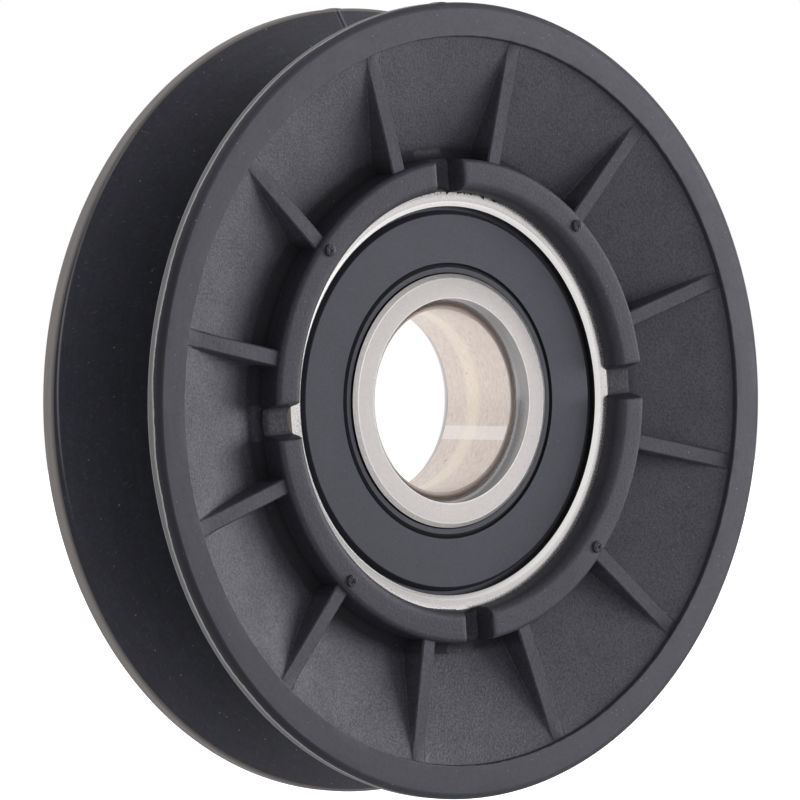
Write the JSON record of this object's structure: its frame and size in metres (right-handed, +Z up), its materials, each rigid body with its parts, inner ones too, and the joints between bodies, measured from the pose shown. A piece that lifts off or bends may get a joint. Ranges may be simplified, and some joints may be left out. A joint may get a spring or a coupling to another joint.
{
  "type": "tensioner pulley",
  "caption": "Moulded black V-belt tensioner pulley with a ribbed conical web and a notched boss round a sealed ball bearing, turning freely on a bolt through the bearing's bore.",
  "frame": {"origin": "middle of the bearing's bore, half way between the two rim faces", "axes": "+Y along the spin axis towards the rear, +Z up, and the front with the gate stubs faces -Y"},
  "size_m": [0.0736, 0.0172, 0.0736],
  "materials": {
    "nylon": "moulded satin",
    "ring_steel": "ground",
    "seal_rubber": "moulded",
    "cage_steel": "pressed",
    "ball_steel": "polished"
  },
  "bodies": {
    "inner_ring": {"inner_ring": "ring_steel"},
    "wheel": {"pulley_body": "nylon", "outer_ring": "ring_steel", "front_seal": "seal_rubber", "rear_seal": "seal_rubber"},
    "cage": {"cage_front": "cage_steel", "cage_rear": "cage_steel", "cage_rivets": "cage_steel"},
    "ball_1": {"ball_1": "ball_steel"},
    "ball_2": {"ball_2": "ball_steel"},
    "ball_3": {"ball_3": "ball_steel"},
    "ball_4": {"ball_4": "ball_steel"},
    "ball_5": {"ball_5": "ball_steel"},
    "ball_6": {"ball_6": "ball_steel"},
    "ball_7": {"ball_7": "ball_steel"},
    "ball_8": {"ball_8": "ball_steel"}
  },
  "joints": [
    {"name": "pulley_spin", "type": "hinge", "parent": "inner_ring", "child": "wheel", "pos_m": [0, 0, 0], "axis": [0, 1, 0], "continuous": true},
    {"name": "cage_spin", "type": "hinge", "parent": "inner_ring", "child": "cage", "pos_m": [0, 0, 0], "axis": [0, 1, 0], "continuous": true},
    {"name": "ball_1_spin", "type": "hinge", "parent": "cage", "child": "ball_1", "pos_m": [0.0142, 0, 0.00122], "axis": [0, 1, 0], "continuous": true},
    {"name": "ball_2_spin", "type": "hinge", "parent": "cage", "child": "ball_2", "pos_m": [0.00918, 0, 0.0109], "axis": [0, 1, 0], "continuous": true},
    {"name": "ball_3_spin", "type": "hinge", "parent": "cage", "child": "ball_3", "pos_m": [-0.00122, 0, 0.0142], "axis": [0, 1, 0], "continuous": true},
    {"name": "ball_4_spin", "type": "hinge", "parent": "cage", "child": "ball_4", "pos_m": [-0.0109, 0, 0.00918], "axis": [0, 1, 0], "continuous": true},
    {"name": "ball_5_spin", "type": "hinge", "parent": "cage", "child": "ball_5", "pos_m": [-0.0142, 0, -0.00122], "axis": [0, 1, 0], "continuous": true},
    {"name": "ball_6_spin", "type": "hinge", "parent": "cage", "child": "ball_6", "pos_m": [-0.00918, 0, -0.0109], "axis": [0, 1, 0], "continuous": true},
    {"name": "ball_7_spin", "type": "hinge", "parent": "cage", "child": "ball_7", "pos_m": [0.00122, 0, -0.0142], "axis": [0, 1, 0], "continuous": true},
    {"name": "ball_8_spin", "type": "hinge", "parent": "cage", "child": "ball_8", "pos_m": [0.0109, 0, -0.00918], "axis": [0, 1, 0], "continuous": true}
  ],
  "couplings": [
    {"joint": "cage_spin", "follows": "pulley_spin", "ratio": 0.61837},
    {"joint": "ball_1_spin", "follows": "pulley_spin", "ratio": 1.9937},
    {"joint": "ball_2_spin", "follows": "pulley_spin", "ratio": 1.9937},
    {"joint": "ball_3_spin", "follows": "pulley_spin", "ratio": 1.9937},
    {"joint": "ball_4_spin", "follows": "pulley_spin", "ratio": 1.9937},
    {"joint": "ball_5_spin", "follows": "pulley_spin", "ratio": 1.9937},
    {"joint": "ball_6_spin", "follows": "pulley_spin", "ratio": 1.9937},
    {"joint": "ball_7_spin", "follows": "pulley_spin", "ratio": 1.9937},
    {"joint": "ball_8_spin", "follows": "pulley_spin", "ratio": 1.9937}
  ]
}
